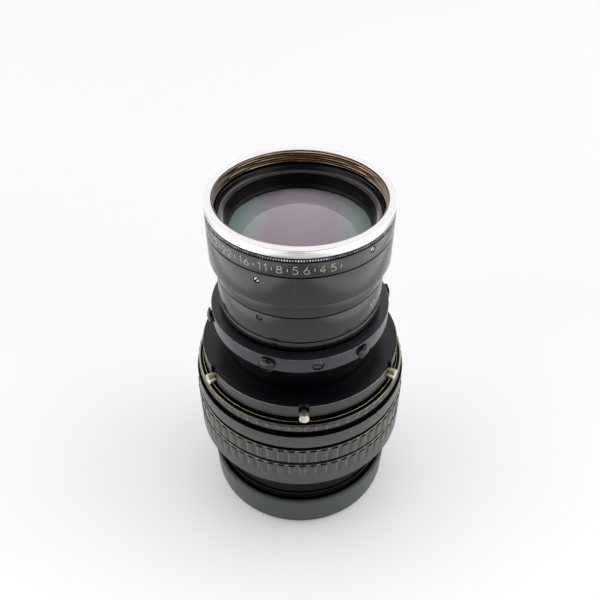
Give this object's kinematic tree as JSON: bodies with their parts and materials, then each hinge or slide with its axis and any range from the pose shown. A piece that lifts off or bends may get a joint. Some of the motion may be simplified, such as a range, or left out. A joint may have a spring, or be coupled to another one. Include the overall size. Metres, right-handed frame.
{
  "type": "enlarger lens",
  "caption": "Tall black lens with a bright threaded front ring, aperture ring, collar with radial thumb screws, pinned flange, ribbed turning focus mount and push-on rear cap.",
  "frame": {"origin": "centre of the rear cap's underside, the face that the lens stands on", "axes": "+Z along the optical axis towards the front of the lens; -Y is the side with the engraved index mark, +X to its right"},
  "size_m": [0.0812, 0.0812, 0.1363],
  "materials": {
    "black_barrel": "satin",
    "matt_black": "matte",
    "focus_grip": "satin",
    "chrome": "satin",
    "brass": "satin",
    "nickel_pin": "satin",
    "steel": "satin",
    "blade_steel": "satin",
    "cap_plastic": "satin",
    "lens_glass": "polished"
  },
  "bodies": {
    "rear_mount": {"fixed_barrel": "black_barrel", "rear_mount_ring": "black_barrel", "guide_key_left": "brass", "guide_key_right": "brass", "focus_stop_block": "steel"},
    "rear_cap": {"rear_cap": "cap_plastic"},
    "focus_ring": {"focus_grip": "focus_grip", "focus_band": "focus_grip", "focus_front_ring": "focus_grip", "brass_focus_sleeve": "brass", "focus_retaining_ring": "black_barrel", "focus_stop_pin": "steel"},
    "lens_carriage": {"carriage_tube": "brass", "pin_flange": "matt_black", "rim_pin_1": "nickel_pin", "rim_pin_2": "nickel_pin", "rim_pin_3": "nickel_pin", "rim_pin_4": "nickel_pin", "rim_pin_5": "nickel_pin", "rim_pin_6": "nickel_pin", "collar_tube": "matt_black", "clamp_ring": "black_barrel", "clamp_set_screw_1": "steel", "clamp_set_screw_2": "steel", "clamp_set_screw_3": "steel", "rear_barrel": "black_barrel", "core_tube": "black_barrel", "scale_sleeve": "black_barrel", "front_barrel": "black_barrel", "name_band": "black_barrel", "knurled_ring": "matt_black", "front_ring": "chrome", "name_band_screw": "steel", "front_barrel_screw": "steel", "front_cell": "black_barrel", "front_trim_ring": "matt_black", "front_element": "lens_glass", "front_doublet": "lens_glass", "rear_cell": "black_barrel", "rear_element": "lens_glass", "rear_spacer": "matt_black", "rear_doublet": "lens_glass", "rear_retaining_ring": "matt_black", "iris_base_plate": "matt_black", "iris_retaining_ring": "matt_black"},
    "aperture_ring": {"aperture_ring": "black_barrel", "iris_cam_ring": "steel", "aperture_drive_screw": "steel"},
    "iris_blade_1": {"iris_blade_1": "blade_steel"},
    "iris_blade_2": {"iris_blade_2": "blade_steel"},
    "iris_blade_3": {"iris_blade_3": "blade_steel"},
    "iris_blade_4": {"iris_blade_4": "blade_steel"},
    "iris_blade_5": {"iris_blade_5": "blade_steel"},
    "iris_blade_6": {"iris_blade_6": "blade_steel"},
    "thumb_screw_1": {"thumb_screw_1": "matt_black"},
    "thumb_screw_2": {"thumb_screw_2": "matt_black"},
    "thumb_screw_3": {"thumb_screw_3": "matt_black"},
    "thumb_screw_4": {"thumb_screw_4": "matt_black"},
    "thumb_screw_5": {"thumb_screw_5": "matt_black"},
    "thumb_screw_6": {"thumb_screw_6": "matt_black"}
  },
  "joints": [
    {"name": "cap_pull", "type": "slide", "parent": "rear_mount", "child": "rear_cap", "axis": [0, 0, -1], "range_m": [0, 0.025]},
    {"name": "focus_turn", "type": "hinge", "parent": "rear_mount", "child": "focus_ring", "pos_m": [0, 0, 0.05], "axis": [0, 0, 1], "range_deg": [0, 270]},
    {"name": "focus_travel", "type": "slide", "parent": "rear_mount", "child": "lens_carriage", "axis": [0, 0, 1], "range_m": [0, 0.012]},
    {"name": "aperture_turn", "type": "hinge", "parent": "lens_carriage", "child": "aperture_ring", "pos_m": [0, 0, 0.103], "axis": [0, 0, 1], "range_deg": [0, 60]},
    {"name": "iris_blade_1_pivot", "type": "hinge", "parent": "lens_carriage", "child": "iris_blade_1", "pos_m": [0, -0.0209, 0.1024], "axis": [0, 0, 1], "range_deg": [0, 44]},
    {"name": "iris_blade_2_pivot", "type": "hinge", "parent": "lens_carriage", "child": "iris_blade_2", "pos_m": [0.0181, -0.01045, 0.10285], "axis": [0, 0, 1], "range_deg": [0, 44]},
    {"name": "iris_blade_3_pivot", "type": "hinge", "parent": "lens_carriage", "child": "iris_blade_3", "pos_m": [0.0181, 0.01045, 0.1033], "axis": [0, 0, 1], "range_deg": [0, 44]},
    {"name": "iris_blade_4_pivot", "type": "hinge", "parent": "lens_carriage", "child": "iris_blade_4", "pos_m": [0, 0.0209, 0.10375], "axis": [0, 0, 1], "range_deg": [0, 44]},
    {"name": "iris_blade_5_pivot", "type": "hinge", "parent": "lens_carriage", "child": "iris_blade_5", "pos_m": [-0.0181, 0.01045, 0.1042], "axis": [0, 0, 1], "range_deg": [0, 44]},
    {"name": "iris_blade_6_pivot", "type": "hinge", "parent": "lens_carriage", "child": "iris_blade_6", "pos_m": [-0.0181, -0.01045, 0.10465], "axis": [0, 0, 1], "range_deg": [0, 44]},
    {"name": "thumb_screw_1_advance", "type": "slide", "parent": "lens_carriage", "child": "thumb_screw_1", "axis": [-0.3256, -0.9455, 0], "range_m": [0, 0.0024]},
    {"name": "thumb_screw_2_advance", "type": "slide", "parent": "lens_carriage", "child": "thumb_screw_2", "axis": [0.6561, -0.7547, 0], "range_m": [0, 0.0024]},
    {"name": "thumb_screw_3_advance", "type": "slide", "parent": "lens_carriage", "child": "thumb_screw_3", "axis": [0.9816, 0.1908, 0], "range_m": [0, 0.0024]},
    {"name": "thumb_screw_4_advance", "type": "slide", "parent": "lens_carriage", "child": "thumb_screw_4", "axis": [0.3256, 0.9455, 0], "range_m": [0, 0.0024]},
    {"name": "thumb_screw_5_advance", "type": "slide", "parent": "lens_carriage", "child": "thumb_screw_5", "axis": [-0.6561, 0.7547, 0], "range_m": [0, 0.0024]},
    {"name": "thumb_screw_6_advance", "type": "slide", "parent": "lens_carriage", "child": "thumb_screw_6", "axis": [-0.9816, -0.1908, 0], "range_m": [0, 0.0024]}
  ],
  "couplings": [
    {"joint": "focus_travel", "follows": "focus_turn", "m_per_rad": 0.0025465},
    {"joint": "iris_blade_1_pivot", "follows": "aperture_turn", "ratio": 0.68},
    {"joint": "iris_blade_2_pivot", "follows": "aperture_turn", "ratio": 0.68},
    {"joint": "iris_blade_3_pivot", "follows": "aperture_turn", "ratio": 0.68},
    {"joint": "iris_blade_4_pivot", "follows": "aperture_turn", "ratio": 0.68},
    {"joint": "iris_blade_5_pivot", "follows": "aperture_turn", "ratio": 0.68},
    {"joint": "iris_blade_6_pivot", "follows": "aperture_turn", "ratio": 0.68}
  ]
}
